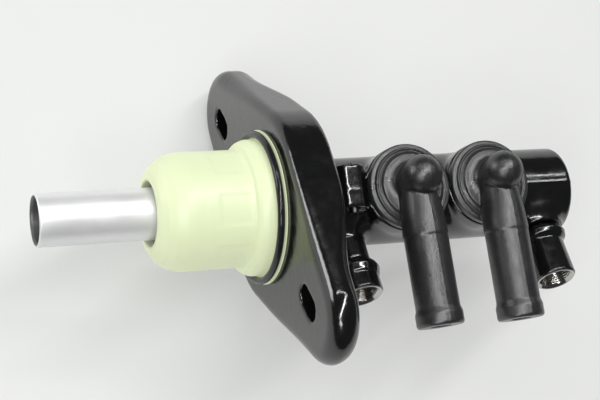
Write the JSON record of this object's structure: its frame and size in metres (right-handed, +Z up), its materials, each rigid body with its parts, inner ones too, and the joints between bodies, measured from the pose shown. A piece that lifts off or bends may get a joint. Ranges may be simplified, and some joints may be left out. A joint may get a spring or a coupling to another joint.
{
  "type": "tandem brake master cylinder",
  "caption": "Tandem hydraulic brake master cylinder with slotted flange, nylon piston guide, sprung tandem pistons, swivelling elbow inlets and pipe outlets.",
  "frame": {"origin": "on the cylinder axis at the flange's booster-side face", "axes": "+X along the cylinder towards its closed end, +Z up along the inlet ports, hoses and pipes leave towards -Y"},
  "size_m": [0.208, 0.1264, 0.1108],
  "materials": {
    "cast_iron_black": "gloss black coating on cast iron",
    "nylon_natural": "satin natural nylon",
    "seal_rubber": "glossy, oiled",
    "spring_steel": "satin",
    "zinc_steel": "zinc plated",
    "machined_alloy": "fine turned",
    "piston_alloy": "turned",
    "cup_rubber": "matt",
    "spring_wire": "drawn wire",
    "black_steel": "gloss black plating",
    "copper": "soft copper",
    "brass": "turned",
    "grommet_rubber": "matt",
    "elbow_rubber": "satin moulded"
  },
  "bodies": {
    "housing": {"cylinder_body": "cast_iron_black", "guide_sleeve": "nylon_natural", "guide_o_ring": "seal_rubber", "snap_ring": "spring_steel", "stem_lip_seal": "seal_rubber", "stop_washer": "zinc_steel", "outlet_fitting_rear": "black_steel", "outlet_fitting_front": "black_steel", "outlet_washer_rear": "copper", "outlet_washer_front": "copper", "pipe_seat_rear": "brass", "pipe_seat_front": "brass", "cross_pin": "spring_steel", "port_grommet_rear": "grommet_rubber", "port_grommet_front": "grommet_rubber", "secondary_spring": "spring_wire"},
    "primary": {"primary_piston": "machined_alloy", "primary_cup": "cup_rubber", "primary_spring_seat": "zinc_steel", "primary_spring": "spring_wire"},
    "secondary": {"secondary_piston": "piston_alloy", "secondary_rear_cup": "cup_rubber", "secondary_mid_cup": "cup_rubber", "secondary_front_cup": "cup_rubber", "secondary_spring_seat": "zinc_steel"},
    "rear_inlet": {"elbow_rear": "elbow_rubber"},
    "front_inlet": {"elbow_front": "elbow_rubber"}
  },
  "joints": [
    {"name": "primary_slide", "type": "slide", "parent": "housing", "child": "primary", "axis": [1, 0, 0], "range_m": [0, 0.024], "stiffness_N_per_m": 5000, "springref_m": -0.012, "deforming": ["primary_spring"]},
    {"name": "secondary_slide", "type": "slide", "parent": "housing", "child": "secondary", "axis": [1, 0, 0], "range_m": [0, 0.012], "stiffness_N_per_m": 5000, "springref_m": -0.012, "deforming": ["secondary_spring", "primary_spring"]},
    {"name": "rear_inlet_swivel", "type": "hinge", "parent": "housing", "child": "rear_inlet", "pos_m": [0.0503, 0, 0.0294], "axis": [0, 0, 1], "range_deg": [-6, 8]},
    {"name": "front_inlet_swivel", "type": "hinge", "parent": "housing", "child": "front_inlet", "pos_m": [0.0837, 0, 0.0294], "axis": [0, 0, 1], "range_deg": [-8, 12]}
  ],
  "couplings": [
    {"joint": "secondary_slide", "follows": "primary_slide", "ratio": 0.5}
  ]
}
